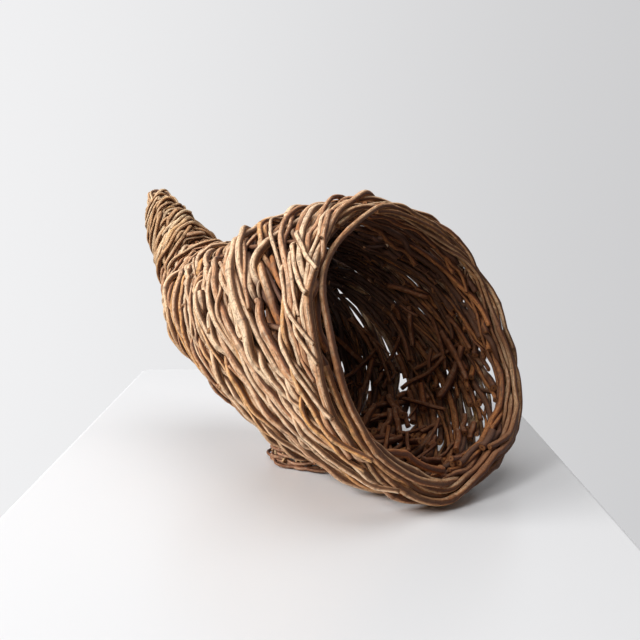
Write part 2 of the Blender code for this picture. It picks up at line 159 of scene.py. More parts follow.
def stems(name, path, radius, out, looks, seed, sides):
    """One mesh of vines: round each path, rings of points square to it.

    A ring swells at the knots, and has two and three ridges that turn slowly along the vine. The ends
    are cut flat. Looks holds how brown, how orange, how far inside the basket and how near a knot
    each point is, and the grain its length run and its place on a circle round the vine.
    """
    count, points = radius.shape
    draw = np.random.default_rng(seed)
    run = run_along(path)
    forward = unit(np.gradient(path, axis=1))
    side = unit(np.cross(forward, out))
    up = np.cross(side, forward)
    turn = np.arange(sides) / sides * TURN
    start = draw.uniform(0, TURN, (4, count, 1, 1))
    twist = draw.uniform(-RIDGE_TWIST, RIDGE_TWIST, (2, count, 1, 1)) * run[..., None]
    ridge = RIDGES[0] * np.cos(2 * turn + start[0] + twist[0])
    ridge = ridge + RIDGES[1] * np.cos(3 * turn + start[1] + twist[1])
    swell = radius * (1 + KNOT_SWELL * looks[..., 3])
    ring = swell[..., None] * (1 + ridge)
    place = path[:, :, None] + (ring * np.cos(turn))[..., None] * up[:, :, None]
    place += (ring * np.sin(turn))[..., None] * side[:, :, None]

    index = np.arange(count * points * sides).reshape(count, points, sides)
    near, far = index[:, :-1], index[:, 1:]
    walls = np.stack([near, np.roll(near, -1, 2), np.roll(far, -1, 2), far], axis=-1).reshape(-1, 4)
    cuts = np.concatenate([index[:, 0, ::-1], index[:, -1]])
    corners = np.concatenate([walls.ravel(), cuts.ravel()])
    starts = np.concatenate([np.arange(len(walls)) * 4, len(walls) * 4 + np.arange(len(cuts)) * sides])
    mesh = bpy.data.meshes.new(name)
    mesh.vertices.add(index.size)
    mesh.loops.add(len(corners))
    mesh.polygons.add(len(starts))
    mesh.vertices.foreach_set("co", place.astype(np.float32).ravel())
    mesh.loops.foreach_set("vertex_index", corners.astype(np.int32))
    mesh.polygons.foreach_set("loop_start", starts.astype(np.int32))
    mesh.polygons.foreach_set("use_smooth", np.arange(len(starts)) < len(walls))

    grain = np.empty((count, points, sides, 3), np.float32)
    grain[..., 0] = run[..., None] + draw.uniform(0, GRAIN_START, (count, 1, 1))
    grain[..., 1:] = np.stack([np.cos(turn), np.sin(turn)], axis=-1)
    mesh.attributes.new("grain", "FLOAT_VECTOR", "POINT").data.foreach_set("vector", grain.ravel())
    stem = np.repeat(looks[:, :, None], sides, axis=2).astype(np.float32)
    mesh.attributes.new("stem", "FLOAT_COLOR", "POINT").data.foreach_set("color", stem.ravel())
    mesh.update(calc_edges=True)
    return placed(name, mesh)


class Signal:
    """An output of a node in a material. Sums and products of signals are Math nodes."""

    def __init__(self, tree, socket=None):
        self.tree, self.socket = tree, socket

    def node(self, kind, settings, inputs, output=0):
        """Adds a node with these settings, links or sets its inputs, and gives one of its outputs."""
        node = self.tree.nodes.new("ShaderNode" + kind)
        for name, value in settings.items():
            setattr(node, name, value)
        for name, value in inputs.items():
            if isinstance(value, Signal):
                self.tree.links.new(value.socket, node.inputs[name])
            else:
                node.inputs[name].default_value = value
        return Signal(self.tree, node.outputs[output])

    def other(self, output):
        """Another output of the same node."""
        return Signal(self.tree, self.socket.node.outputs[output])

    def sums(self, operation, *values):
        return self.node("Math", {"operation": operation}, dict(enumerate(values)))

    def __add__(self, other):
        return self.sums("ADD", self, other)

    __radd__ = __add__

    def __mul__(self, other):
        return self.sums("MULTIPLY", self, other)

    __rmul__ = __mul__

    def __sub__(self, other):
        return self.sums("SUBTRACT", self, other)

    def __rsub__(self, other):
        return self.sums("SUBTRACT", other, self)

    def between(self, low, high):
        """Rises smoothly from 0 at the low value to 1 at the high one."""
        settings = {"interpolation_type": "SMOOTHSTEP"}
        return self.node("MapRange", settings, {"Value": self, "From Min": low, "From Max": high})

    def blend(self, first, second):
        """From the first colour at 0 to the second at 1."""
        return self.node("Mix", {"data_type": "RGBA"}, {0: self, 6: first, 7: second}, 2)

    def noise(self, onward, around, detail):
        """Noise on the grain, finer or coarser along the vine and around it."""
        times = {0: self, 1: (onward, around, around)}
        place = self.node("VectorMath", {"operation": "MULTIPLY"}, times)
        return self.node("TexNoise", {}, {"Vector": place, "Scale": 1, "Detail": detail})


GREYED, WORN, PEELED = (0.50, 0.34, 0.24, 1), (0.24, 0.105, 0.042, 1), (0.94, 0.70, 0.46, 1)
# Near black: painted shade deep inside the horn.
DEEP_INSIDE_SHADE = (0.016, 0.004, 0.001, 1)
FIBRE, FLECK, KNOT = (0.13, 0.045, 0.015, 1), (0.08, 0.03, 0.012, 1), (0.10, 0.045, 0.02, 1)
# Colours of painted shade on the sides of the vines, where they face the next vines.
SHADE_REDDENING, CREVICE_SHADE = (0.60, 0.36, 0.20, 1), (0.04, 0.010, 0.002, 1)
CUT_WOOD, PITH = (0.34, 0.14, 0.05, 1), (0.07, 0.025, 0.012, 1)


def bark(name, *colours):
    """Bark of a dried vine, on coordinates that follow it: its length, and a circle round it.

    Patches of brown, orange and grey and worn and peeled blotches lie over the pale wood. Where a vine
    lies deeper in the wall or inside the basket the bark turns dark with lighter streaks, partly its own
    redder tone and partly painted shade, and deep in the horn near black, which is painted shade. Over
    all lie fibres, flecks and a line at each knot. The sides, which face the next vines, redden and
    darken with painted shade. A cut end shows a dark pith.
    """
    # The inner colours are partly the vines' own redder tone and partly painted shade.
    pale, brown, orange, inner, inner_pale = ((*colour, 1) for colour in colours)
    material = bpy.data.materials.new(name)
    material.use_nodes = True
    tree = material.node_tree
    shader = tree.nodes["Principled BSDF"]
    grain = Signal(tree).node("Attribute", {"attribute_name": "grain"}, {}, "Vector")
    stem = Signal(tree).node("Attribute", {"attribute_name": "stem"}, {}, "Color")
    knot = stem.other("Alpha")
    tint = stem.node("SeparateColor", {}, {0: stem})
    browning, warming, inside = tint, tint.other("Green"), tint.other("Blue")

    patches = grain.noise(13, 0.4, 2)
    bands = grain.noise(28, 1.5, 3)
    blotches = grain.noise(190, 1.6, 4)
    fibres = grain.noise(60, 4, 3)
    flecks = grain.noise(430, 2.4, 3)

    colour = (browning + patches * 0.7 + bands * 1.3 - 1.55).between(-0.15, 0.40).blend(pale, brown)
    colour = (warming + patches * 0.6 - 1.05).between(0, 0.3).blend(colour, orange)
    colour = (bands.between(0.50, 0.36) * 0.42).blend(colour, GREYED)
    colour = (blotches.between(0.52, 0.66) * 0.5).blend(colour, WORN)
    colour = (blotches.between(0.46, 0.36) * 0.45).blend(colour, PEELED)
    # Vines deeper in the wall and inside the basket take the dark inner colour: partly their own redder
    # tone, partly painted shade under and between the outer vines.
    colour = (inside.between(0.15, 0.75) * 0.94).blend(colour, inner)
    streaks = (browning * 0.6 + fibres * 0.8 + blotches * 0.7 + patches * 0.4 - 1.05).between(0, 0.5)
    colour = (streaks * inside.between(0.4, 0.8) * 0.8).blend(colour, inner_pale)
    # Deep inside the horn the bark goes near black: painted shade.
    colour = (inside.between(0.95, 1.7) * 0.85).blend(colour, DEEP_INSIDE_SHADE)
    colour = (fibres.between(0.53, 0.66) * 0.6).blend(colour, FIBRE)
    colour = (flecks.between(0.57, 0.66) * 0.5).blend(colour, FLECK)
    colour = (knot.between(0.6, 1.0) * 0.5).blend(colour, KNOT)

    facing = grain.node("SeparateXYZ", {}, {0: grain}, "Y")
    flank = facing.other("Z")
    across = facing.sums("SQRT", facing * facing + flank * flank)
    # The sides of each vine, which face the next vines, take painted shade: reddened as by light bounced
    # between the vines, then darkened almost to black.
    times = {"data_type": "RGBA", "blend_type": "MULTIPLY"}
    shade_reddened = colour.node("Mix", times, {0: 1.0, 6: colour, 7: SHADE_REDDENING}, 2)
    colour = ((flank * flank).between(0.15, 0.75) * 0.85).blend(colour, shade_reddened)
    colour = ((flank * flank).between(0.40, 0.98) * 0.85).blend(colour, CREVICE_SHADE)
    wood = across.between(0.30, 0.18).blend(CUT_WOOD, PITH)
    colour = across.between(0.93, 0.88).blend(colour, wood)
    tree.links.new(colour.socket, shader.inputs["Base Color"])
    tree.links.new((0.5 + fibres * 0.35).socket, shader.inputs["Roughness"])

    relief = fibres * 0.5 + blotches * 0.8 + flecks * 0.5
    bump = relief.node("Bump", {}, {"Strength": 0.9, "Distance": 0.0014, "Height": relief})
    tree.links.new(bump.socket, shader.inputs["Normal"])
    shader.inputs["Specular IOR Level"].default_value = 0.4
    return material


def make(name, vines, seed, material, slot, *nodes, some=slice(None), sides=STEM_SIDES):
    """Makes a piece of some vines, given as paths, radii, ways out and looks, for these nodes."""
    piece = stems(name, *(part[some] for part in vines), seed, sides)
    piece.data.materials.append(material)
    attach(piece, "root")
    if nodes:
        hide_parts(*nodes)


rib_bark = bark(
    "rib_bark", (0.46, 0.31, 0.19), (0.22, 0.12, 0.06), (0.36, 0.15, 0.05),
    (0.14, 0.05, 0.02), (0.30, 0.14, 0.06),
)
draw = np.random.default_rng(11)
rib_share = np.linspace(RIB_START_SHARE, 1, RIB_POINTS)[None] + np.zeros((RIB_COUNT, 1))
rib_angle = np.arange(RIB_COUNT)[:, None] / RIB_COUNT * TURN + np.zeros((1, RIB_POINTS))
rib_out = outwards(rib_share, rib_angle)
rib_path = on_wall(rib_share, rib_angle) - closing(rib_share)[..., None] * rib_out
rib_radius = RIB_RADIUS + (RIB_TIP_RADIUS - RIB_RADIUS) * rib_share
rib_radius = rib_radius - RIB_THINNING_SHARE * closing(rib_share)
rib_looks = np.zeros((RIB_COUNT, RIB_POINTS, 4))
rib_looks[..., 0] = draw.uniform(*RIB_BROWN, (RIB_COUNT, 1))
rib_looks[..., 2] = RIB_INSIDE
pitch, start = draw.uniform(*RIB_KNOT_PITCH, RIB_COUNT), draw.uniform(0, 1, RIB_COUNT)
rib_looks[..., 3] = knots_at(run_along(rib_path), pitch, start)
ribs = rib_path, rib_radius, rib_out, rib_looks
for i in range(RIB_COUNT):
    make(f"rib_stem_{i + 1}", ribs, i, rib_bark, "rib_bark", f"rib_{i + 1:02}", some=slice(i, i + 1))


# The rim
# Long vines wound loosely round one another make the edge of the mouth. Three run once round it and
# on, and five leave out the upper near side, where the real edge is thin.

RIM_VINES = 8
RIM_HALF_TURNS = (
    (0.5, 2.7), (-0.08, 1.42), (0.9, 3.1), (-0.2, 1.33),
    (-0.02, 1.5), (0.7, 2.9), (0.1, 1.45), (-0.14, 1.37),
)
RIM_POINTS = 280
RIM_TUCK, RIM_END_LEVELS = 0.13, (0.004, -0.0035)
RIM_WANDER, RIM_WAVES = 0.003, (0.10, 0.25)
RIM_KINK, RIM_KNOT_PITCH = 0.0018, (0.05, 0.10)
RIM_TWISTS = (1.3, 0.5, 1.9, -0.8, 1.1, 0.9, -1.4, 0.7)
RIM_TWIST_WAVES = ((0.9, 2, 2.3), (0.4, 5, 1.7))
RIM_SPREAD = (0.0058, 0.0050, 0.0062, 0.0056, 0.0015, 0.0060, 0.0064, 0.0040)
RIM_SPREAD_WAVE = 0.25
RIM_LOOSE_SHARES = (0, 0.06, 0.02, 0.09, 0, 0.04, 0.12, 0.03)
LOOSE_ANGLE, LOOSE_SPREAD, LOOSE_WAVE = -0.28 * np.pi, 0.7, 0.5
RIM_RADII = (0.0034, 0.0031, 0.0036, 0.0028, 0.0034, 0.0034, 0.0027, 0.0030)
RIM_THICK_END, RIM_TAPER = 1.08, 0.2
RIM_BROWN, RIM_INSIDE, RIM_LOOK_DEPTH = (0.1, 0.9), 0.25, 0.03
RIM_SIDES = 12
THICKEST_ANGLE, THICKENING = -0.75 * np.pi, 0.2

SETTLING_ROUNDS = 80
PAIR_ROUNDS = 5
STIFFNESS = 8
REACH = 0.0135
VINE_GAP = 0.0002
PUSH_SHARE, STIFF_GAIN = 0.22, 2.2
HOME_SHARE = 0.03
FURTHEST = 0.013
SIDE_SHARE = 0.55
GROUND_RADII = 1.35
SELF_POINTS = 12
TINY = 1e-6
HALF_CUBES = [(0, 0, 0), (0, 0, 1)] + [(0, 1, k) for k in (-1, 0, 1)] + [
    (1, j, k) for j in (-1, 0, 1) for k in (-1, 0, 1)
]


def near_pairs(place, vine, moving):
    """Pairs of points within reach, of unlike vines or far apart on one, and not both still.

    The points are sorted into cubes, and each cube is matched with itself and half of those round it.
    """
    cube = np.floor((place - place.min(axis=0)) / REACH).astype(np.int64) + 1
    across = cube.max(axis=0) + 2
    stride = np.array((across[1] * across[2], across[2], 1))
    key = cube @ stride
    order = np.argsort(key, kind="stable")
    ranked = key[order]
    found = []
    for offset in HALF_CUBES:
        wanted = key + int(np.array(offset) @ stride)
        start = np.searchsorted(ranked, wanted, "left")
        size = np.searchsorted(ranked, wanted, "right") - start
        first = np.repeat(np.arange(len(key)), size)
        rank = np.arange(size.sum()) - np.repeat(np.cumsum(size) - size, size)
        second = order[np.repeat(start, size) + rank]
        keep = (vine[first] != vine[second]) | (np.abs(first - second) > SELF_POINTS)
        keep &= np.minimum(first, second) < moving
        if not any(offset):
            keep &= first < second
        first, second = first[keep], second[keep]
        close = ((place[first] - place[second]) ** 2).sum(-1) < REACH**2
        found.append(np.stack([first[close], second[close]]))
    return np.concatenate(found, axis=1)


def smooth(values, rounds):
    """Each value becomes the mean of itself and its neighbours along the vine, some times over."""
    for _ in range(rounds):
        wide = np.pad(values, ((0, 0), (1, 1), (0, 0)), mode="edge")
        values = (wide[:, :-2] + 2 * values + wide[:, 2:]) / 4
    return values


def settle(home, radius, level, out, *others):
    """Pushes vines apart where they lie in each other, a little in each round.

    Two points that overlap move apart along the line between them, turned towards the side of the
    wall on which each vine is meant to lie. A point shares its move with its neighbours, as in a
    stiff stem, is drawn back a little to where it started, goes no further from there than FURTHEST,
    and not into the ground. The other vines don't move.
    """
    still = np.concatenate([vines[0].reshape(-1, 3) for vines in others])
    still_radius = np.concatenate([vines[1].ravel() for vines in others])
    count, points = radius.shape
    moving = count * points
    size = np.concatenate([radius.ravel(), still_radius])
    height = np.concatenate([level.ravel(), np.zeros(len(still))])
    facing = np.concatenate([out.reshape(-1, 3), np.zeros((len(still), 3))])
    vine = np.concatenate([np.repeat(np.arange(count), points), np.full(len(still), count)])
    shift = np.zeros_like(home)
    for turn in range(SETTLING_ROUNDS):
        place = np.concatenate([(home + shift).reshape(-1, 3), still])
        if turn % PAIR_ROUNDS == 0:
            first, second = near_pairs(place, vine, moving)
        apart = place[first] - place[second]
        distance = np.linalg.norm(apart, axis=1)
        overlap = size[first] + size[second] + VINE_GAP - distance
        meet = overlap > 0
        a, b = first[meet], second[meet]
        way = apart[meet] / np.maximum(distance[meet], TINY)[:, None]
        facing_out = np.where((a < moving)[:, None], facing[a], facing[b])
        way = unit(way + SIDE_SHARE * np.sign(height[a] - height[b])[:, None] * facing_out)
        push = way * (overlap[meet] * PUSH_SHARE)[:, None]
        move = np.stack([
            np.bincount(a, push[:, k], len(place)) - np.bincount(b, push[:, k], len(place)) for k in range(3)
        ], axis=-1)
        shift += smooth(move[:moving].reshape(count, points, 3), STIFFNESS) * STIFF_GAIN
        shift = smooth(shift, 1) * (1 - HOME_SHARE)
        gone = np.linalg.norm(shift, axis=-1, keepdims=True)
        shift *= np.minimum(1, FURTHEST / np.maximum(gone, FURTHEST))
        shift[..., 2] += np.maximum(0, GROUND_RADII * radius - (home + shift)[..., 2])
    return home + shift


def waves(draw, run, low, high):
    """A mean of three sine waves along each vine, with wavelengths between the two."""
    total = 0
    for _ in range(3):
        pitch = draw.uniform(low, high, (len(run), 1))
        total = total + np.sin(run / pitch * TURN + draw.uniform(0, TURN, (len(run), 1)))
    return total / 3


def zigzag(run, pitch, start):
    """A triangle wave with a corner at each knot, where a vine bends a little."""
    return 4 * np.abs(((run + start[:, None]) / pitch[:, None] / 2) % 1 - 0.5) - 1


def thickened(angle):
    """How many times thicker vines are: more on the near side at the bottom, less opposite."""
    return 1 + THICKENING * np.cos(angle - THICKEST_ANGLE)


def rim_paths(draw):
    """Vines wound round the edge of the wall, each with its own twist and its own distance from it.

    The place round the edge is a twist times the angle plus two waves of it. The loose vines lie
    back from the edge by a bell curve of the angle. Each wanders, bends a little at its knots, and
    is tucked in or lifted at its ends. Gives the paths, ways out, levels, thickening and knots.
    """
    s = np.linspace(0, 1, RIM_POINTS)[None]
    number = np.arange(RIM_VINES)[:, None]
    first, last = np.array(RIM_HALF_TURNS).T[:, :, None] * np.pi
    angle = first + (last - first) * s
    phase = np.array(RIM_TWISTS)[:, None] * (angle - first) + number / (RIM_VINES - 1) * TURN
    for height, times, offset in RIM_TWIST_WAVES:
        phase = phase + height * np.sin(times * angle + offset * number)
    spread = np.array(RIM_SPREAD)[:, None] * (1 + RIM_SPREAD_WAVE * np.sin(3 * angle + number))
    looseness = np.exp(-((1 - np.cos(angle - LOOSE_ANGLE)) / LOOSE_SPREAD) ** 2)
    share = np.array(RIM_LOOSE_SHARES)[:, None] * looseness
    share = share * (1 + LOOSE_WAVE * np.sin(4 * angle + 2.1 * number))
    edge, out = on_wall(share, angle), outwards(share, angle)
    across = np.cross(out, unit(np.gradient(edge, axis=1)))
    run = run_along(edge)
    pitch, start = draw.uniform(*RIM_KNOT_PITCH, RIM_VINES), draw.uniform(0, 1, RIM_VINES)
    uneven = RIM_WANDER * waves(draw, run, *RIM_WAVES) + RIM_KINK * zigzag(run, pitch, start)
    tuck = np.clip(1 - np.minimum(s, 1 - s) / RIM_TUCK, 0, 1) ** 2
    level = spread * np.cos(phase) + bulges(share, angle) + tuck * np.array(RIM_END_LEVELS)[number % 2]
    place = edge + level[..., None] * out + (spread * np.sin(phase) + uneven)[..., None] * across
    return place, out, level, thickened(angle), knots_at(run, pitch, start)


rim_bark = bark(
    "rim_bark", (0.95, 0.63, 0.35), (0.54, 0.25, 0.10), (0.78, 0.38, 0.13),
    (0.20, 0.07, 0.026), (0.46, 0.21, 0.09),
)
rim_home, rim_out, rim_level, thickening, rim_knots = rim_paths(draw)
taper = RIM_THICK_END - RIM_TAPER * np.linspace(0, 1, RIM_POINTS)[None]
rim_radius = np.array(RIM_RADII)[:, None] * taper * thickening
rim_path = settle(rim_home, rim_radius, rim_level, rim_out, ribs)
rim_looks = np.zeros((RIM_VINES, RIM_POINTS, 4))
rim_looks[..., 0] = draw.uniform(*RIM_BROWN, (RIM_VINES, 1))
rim_looks[..., 1] = draw.uniform(0, 1, (RIM_VINES, 1))
rim_looks[..., 2] = RIM_INSIDE - rim_level / RIM_LOOK_DEPTH
rim_looks[..., 3] = rim_knots
rim = rim_path, rim_radius, rim_out, rim_looks
for i in range(3):
    name, strand, some = f"rim_vines_{i + 1}", f"rim_strand_{i + 1}", slice(i, RIM_VINES, 3)
    make(name, rim, 20 + i, rim_bark, "rim_bark", strand, some=some, sides=RIM_SIDES)


# The weave
# Some two hundred and sixty vines of all thicknesses are laid round the horn, in and out of the
# ribs, most of their ends tucked through to the inside. The hoops lean further back than the mouth.

WEAVE_START_SHARE, WEAVE_END_SHARE = 0.014, 0.80
EDGE_SOFTNESS = 0.012
BAND_EDGE_SHARES = (
    0.0, 0.075, 0.125, 0.165, 0.20, 0.23, 0.262, 0.294, 0.325, 0.357,
    0.388, 0.42, 0.452, 0.485, 0.52, 0.555, 0.60, 0.665, 0.80,
)
PACKED_BANDS = (0, 0, 15, 16, 16, 17)
LEAN_BACK_DEGREES = (3, 27, 37, 42, 44, 44, 43, 42, 41, 40, 40, 41, 43, 46, 50, 52, 52)
WEAVE_LAYERS = 1.8
WEAVE_POINTS = 150
PLAN_ANGLES = 72
PLAN_SCATTER = 0.8
NOT_WANTED = 0.0006
FAN_GAPS, FAN_END = 0.4, 0.2
FAN_ANGLE, FAN_SPREAD = -0.12 * np.pi, 0.2
THINNER_FAR_SIDE = ((0.05, 0.2, 0.3), (-0.15, -0.08, 0.12))
STRIPS = 3
LEAST_SHARE, BACK_SHARE = 0.004, 0.7
FRONT_RADIUS, BACK_RADIUS = 0.0039, 0.0031
THICKNESS_SHARES = (0.62, 0.75, 0.88, 1.0, 1.12, 1.22)
THICK_END, TAPER = 1.08, 0.26
UNEVENNESS, UNEVEN_WAVES = 0.05, (0.03, 0.09)
FRONT_LENGTH, BACK_LENGTH = 0.66, 0.42
LENGTH_SPREAD = (0.7, 1.25)
LENGTH_SHARES = (1, 0.45, 0.22)
OVER_DEPTH, LAYER_DEPTH, DEPTH_TAPER = 0.005, 0.0052, 0.55
SIDE_CHANGE_CHANCE = 0.55
TUCK_LENGTH, TUCK_DEPTH, DEEPEST = 0.04, 0.011, 0.019
INSIDE_CHANCE, OUTSIDE_TUCK_SHARE = 0.85, -0.25
SLOPE = 0.155
WANDER, WANDER_WAVES = 0.010, (0.16, 0.45)
KINK, KINK_SPREAD, KNOT_PITCH = 0.0018, (0.3, 1.6), (0.06, 0.12)
RIPPLE, RIPPLE_WAVES = 0.0015, (0.08, 0.2)
BULGE_TIMES = (0.7, 1, 1.3)
ARCH_DEPTH, ARCH_SPREAD, ARCH_SHARES = 0.011, 0.022, (0.03, 0.08, 0.30, 0.42)
MIDDLE_LOOK, LOOK_DEPTH, BULGE_LOOK_SHARE = 0.5, 0.018, 0.6
FADED_END_SHARE, FADING = 0.5, 0.7
DEEPEST_LOOK, DARK_START_SHARE = 0.9, 0.4


def wall_step(t, angle):
    """Length of the wall for each unit of share, along the ribs."""
    t = np.clip(t, SMALL_SHARE, 1 - SMALL_SHARE)
    step = on_wall(t + SMALL_SHARE, angle) - on_wall(t - SMALL_SHARE, angle)
    return np.linalg.norm(step, axis=-1) / (2 * SMALL_SHARE)


def leant(middle, angle):
    """Shares of the points of a hoop that leans back, by the tangent of its lean times its height."""
    height = TIP_HALF_WIDTH + (MOUTH_HALF_HEIGHT - TIP_HALF_WIDTH) * along(HEIGHT_SHARES, middle)
    back = np.tan(np.radians(along(LEAN_BACK_DEGREES, middle))) * height * np.cos(angle)
    return middle + back / wall_step(middle, angle)


def girth(middle):
    """Length of a hoop."""
    angle = np.linspace(0, TURN, 73)[None]
    ring = on_wall(leant(np.asarray(middle)[:, None], angle), angle)
    return np.linalg.norm(np.diff(ring, axis=1), axis=-1).sum(axis=1)


def weave_plan(draw):
    """Chooses the vines: the band that each lies in, its share, middle angle, length and radius.

    Each band is planned in strips. A strip lacks the room between its edges times the layers, less
    where the rows fan out or the far wall is thin, and none beyond the mouth. Each vine is centred
    where the strip lacks most over the vine's length, and takes its thickness off, until no vine of
    that length fits. Shorter vines follow, and what is still lacking goes on to the next strip.
    """
    plan = []
    look = np.arange(PLAN_ANGLES) / PLAN_ANGLES * TURN
    bands = len(BAND_EDGE_SHARES) - 1
    strips = np.interp(np.arange(bands * STRIPS + 1) / STRIPS, np.arange(bands + 1), BAND_EDGE_SHARES)
    lacking = np.zeros(PLAN_ANGLES)
    for strip, (low, high) in enumerate(zip(strips, strips[1:])):
        back = min(1, (low + high) / 2 / BACK_SHARE)
        length = FRONT_LENGTH + (BACK_LENGTH - FRONT_LENGTH) * back
        radius = FRONT_RADIUS + (BACK_RADIUS - FRONT_RADIUS) * back
        edges = [np.clip(leant(np.full(PLAN_ANGLES, t), look), WEAVE_START_SHARE, 1) for t in (low, high)]
        room = np.linalg.norm(on_wall(edges[1], look) - on_wall(edges[0], look), axis=-1)
        fan = FAN_GAPS * np.exp(-(1 - np.cos(look - FAN_ANGLE)) / FAN_SPREAD) * max(0, 1 - low / FAN_END)
        far_side = np.interp(low, *THINNER_FAR_SIDE) * np.clip(np.sin(look), 0, 1)
        lacking += room * WEAVE_LAYERS * (1 - fan - far_side)
        around = girth([(low + high) / 2])[0]
        wanted = np.where(room < NOT_WANTED, -radius, lacking)
        for part in LENGTH_SHARES:
            while True:
                long = length * part * draw.uniform(*LENGTH_SPREAD)
                thick = radius * draw.choice(THICKNESS_SHARES)
                laps, covered = divmod(round(long / around * PLAN_ANGLES), PLAN_ANGLES)
                summed = np.concatenate([[0], np.cumsum(np.tile(wanted, 2))])
                stretch = summed[covered:covered + PLAN_ANGLES] - summed[:PLAN_ANGLES] + laps * wanted.sum()
                mean = stretch / (laps * PLAN_ANGLES + covered)
                start = int(np.argmax(mean + thick * draw.uniform(0, PLAN_SCATTER, PLAN_ANGLES)))
                if mean[start] < thick:
                    break
                cover = 2 * thick * thickened(look)
                covers = (start + np.arange(covered)) % PLAN_ANGLES
                for need in (lacking, wanted):
                    need -= cover * laps
                    need[covers] -= cover[covers]
                share = max(LEAST_SHARE, draw.uniform(low, high))
                centre = look[start] + covered / PLAN_ANGLES * np.pi
                plan.append((strip // STRIPS, share, centre, long, thick))
    return np.array(plan).T


def over_under(draw, angle):
    """Runs between 1 outside the ribs and -1 inside them, and at each rib may change sides."""
    first = np.floor(angle.min() / TURN * RIB_COUNT).astype(int)
    last = np.ceil(angle.max() / TURN * RIB_COUNT).astype(int) + 1
    flips = draw.random((len(angle), last - first + 1)) < SIDE_CHANGE_CHANCE
    side = 1.0 - 2 * (np.cumsum(flips, axis=1) % 2)
    place = angle / TURN * RIB_COUNT - first
    low = place.astype(int)
    f = place - low
    f = f * f * (3 - 2 * f)
    return np.take_along_axis(side, low, 1) * (1 - f) + np.take_along_axis(side, low + 1, 1) * f


def lay_vines(draw, middle, centre, long, points, over, scatter):
    """Lays vines round the horn: gives their shares, angles, levels, lengths run and knots.

    Each is a hoop centred at an angle that drifts to one side at its own slope, wanders, and bends
    at its knots. Its level outside the middle of the wall goes over and under the ribs by one depth
    and is scattered by another. It follows the wall's bulges more or less closely, may arch over the
    top of the horn, and most of its ends are tucked through to the inside.
    """
    count = len(middle)
    long = long[:, None]
    run = long * np.linspace(0, 1, points)
    turns = draw.choice((-1, 1), count) * TURN / girth(middle)
    angle = centre[:, None] + turns[:, None] * (run - long / 2)
    pitch, start = draw.uniform(*KNOT_PITCH, count), draw.uniform(0, 1, count)
    aside = draw.normal(0, SLOPE, (count, 1)) * (run - long / 2)
    aside += WANDER * waves(draw, run, *WANDER_WAVES)
    aside += KINK * draw.uniform(*KINK_SPREAD, (count, 1)) * zigzag(run, pitch, start)
    share = leant(middle[:, None], angle)
    share = share + aside / wall_step(share, angle)
    level = over * over_under(draw, angle) + scatter * draw.uniform(-1, 1, (count, 1))
    level *= 1 - DEPTH_TAPER * middle[:, None]
    level += RIPPLE * waves(draw, run, *RIPPLE_WAVES)
    level += bulges(share, angle) * draw.choice(BULGE_TIMES, (count, 1))
    on_top = np.exp(-(1 - np.cos(angle - np.pi * along(TOP_HALF_TURNS, share))) / ARCH_SPREAD)
    level += ARCH_DEPTH * draw.random((count, 1)) * on_top * np.interp(share, ARCH_SHARES, (0, 1, 1, 0))
    ends_inside = np.where(draw.random((2, count, 1)) < INSIDE_CHANCE, 1, OUTSIDE_TUCK_SHARE)
    first_half = run < long / 2
    tuck = np.clip(1 - np.minimum(run, long - run) / TUCK_LENGTH, 0, 1) ** 2
    level -= TUCK_DEPTH * tuck * np.where(first_half, ends_inside[0], ends_inside[1])
    level = np.maximum(level, -DEEPEST)
    return share, angle, level, run, knots_at(run, pitch, start)


def bark_looks(draw, depth, knot):
    """Each vine's own brown and orange, then how far inside its points lie, and their knots."""
    own = draw.uniform(0, 1, (2, len(depth), 1)) + 0 * depth
    return np.stack([own[0], own[1], MIDDLE_LOOK - depth / LOOK_DEPTH, knot], axis=-1)


def plain_looks(draw, path, pitch, depth):
    """Looks of vines that lie at one depth, with their knots at a pitch of their own."""
    knot = knots_at(run_along(path), pitch + np.zeros(len(path)), draw.uniform(0, 1, len(path)))
    return bark_looks(draw, depth + 0 * knot, knot)


weave_bark = bark(
    "weave_bark", (0.98, 0.71, 0.46), (0.62, 0.31, 0.15), (0.87, 0.45, 0.15),
    (0.090, 0.022, 0.005), (0.74, 0.29, 0.09),
)
draw = np.random.default_rng(5)
band, middle, centre, long, thick = weave_plan(draw)
share, angle, level, run, knot = lay_vines(
    draw, middle, centre, long, WEAVE_POINTS, OVER_DEPTH, LAYER_DEPTH
)
share = WEAVE_START_SHARE + EDGE_SOFTNESS * np.logaddexp(0, (share - WEAVE_START_SHARE) / EDGE_SOFTNESS)
share = np.minimum(share, WEAVE_END_SHARE)
weave_out = outwards(share, angle)
weave_home = on_wall(share, angle) + level[..., None] * weave_out
weave_radius = thick[:, None] * (THICK_END - TAPER * run / long[:, None])
weave_radius = weave_radius * (1 + UNEVENNESS * waves(draw, run, *UNEVEN_WAVES)) * thickened(angle)
weave_path = settle(weave_home, weave_radius, level, weave_out, ribs, rim)
depth = ((weave_path - on_wall(share, angle)) * weave_out).sum(-1)
depth = (depth - BULGE_LOOK_SHARE * bulges(share, angle)) / (1 - DEPTH_TAPER * middle[:, None])
looks = bark_looks(draw, depth, knot)
faded = FADING * np.clip(share / FADED_END_SHARE, 0, 1) * np.clip(2 * looks[..., 2] - 0.8, 0, 1)
looks[..., 0] *= 1 - faded
looks[..., 2] = np.minimum(looks[..., 2], DEEPEST_LOOK)
# Vines inside the basket count as lying deeper the further they are from the mouth, so the bark towards the
# tail turns near black: painted shade.
inside = np.clip(3 * looks[..., 2] - 1.5, 0, 1)
looks[..., 2] += inside * np.clip(share / DARK_START_SHARE - 0.2, 0, 1)
weave = weave_path, weave_radius, weave_out, looks
for i in range(len(BAND_EDGE_SHARES) - 1):
    packing = [f"packing_vine_{n}" for n, at in enumerate(PACKED_BANDS, 1) if at == i]
    solids = [f"weaver_{i + 1:02}"] + packing
    make(f"woven_vines_{i + 1}", weave, 40 + i, weave_bark, "weaver_bark", *solids, some=band == i)


